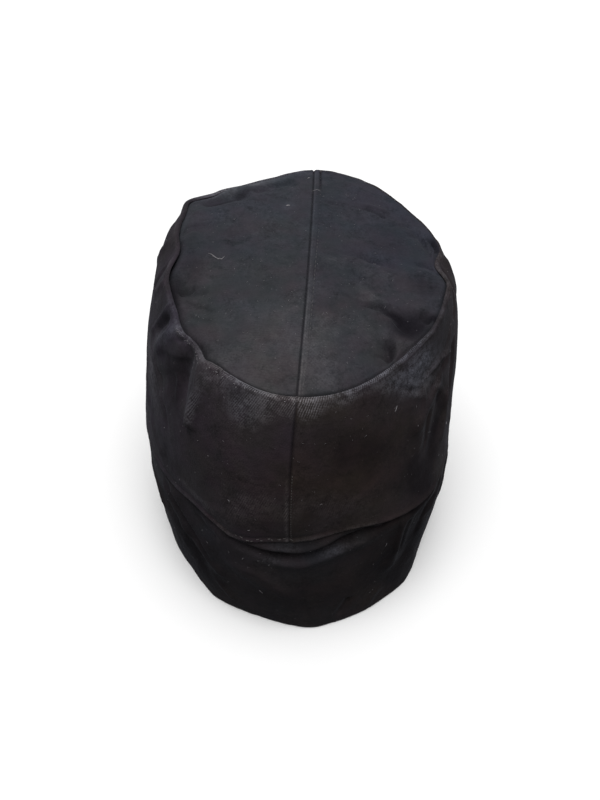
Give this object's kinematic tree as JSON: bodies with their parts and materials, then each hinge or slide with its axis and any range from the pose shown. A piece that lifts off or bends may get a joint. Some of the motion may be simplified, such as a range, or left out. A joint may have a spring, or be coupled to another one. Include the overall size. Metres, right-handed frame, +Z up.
{
  "type": "ushanka",
  "caption": "Soft twill ushanka standing on its turned-down neck and ear flap: oval seamed top, side wall with a back seam, plain flap all round, open below for the head.",
  "frame": {"origin": "middle of the footprint, on the surface that the flap's hem stands on", "axes": "+Z up; the front of the hat faces -Y, the back seam +Y, and the wearer's left is +X"},
  "size_m": [0.1794, 0.2092, 0.1811],
  "materials": {
    "tip_twill": "matte cotton twill, faded black",
    "wall_twill": "matte cotton twill, worn black",
    "flap_twill": "matte cotton twill, deep black"
  },
  "bodies": {
    "root": {"crown_tip_left": "tip_twill", "crown_tip_right": "tip_twill", "crown_wall_left": "wall_twill", "crown_wall_right": "wall_twill", "neck_flap": "flap_twill"}
  },
  "joints": []
}
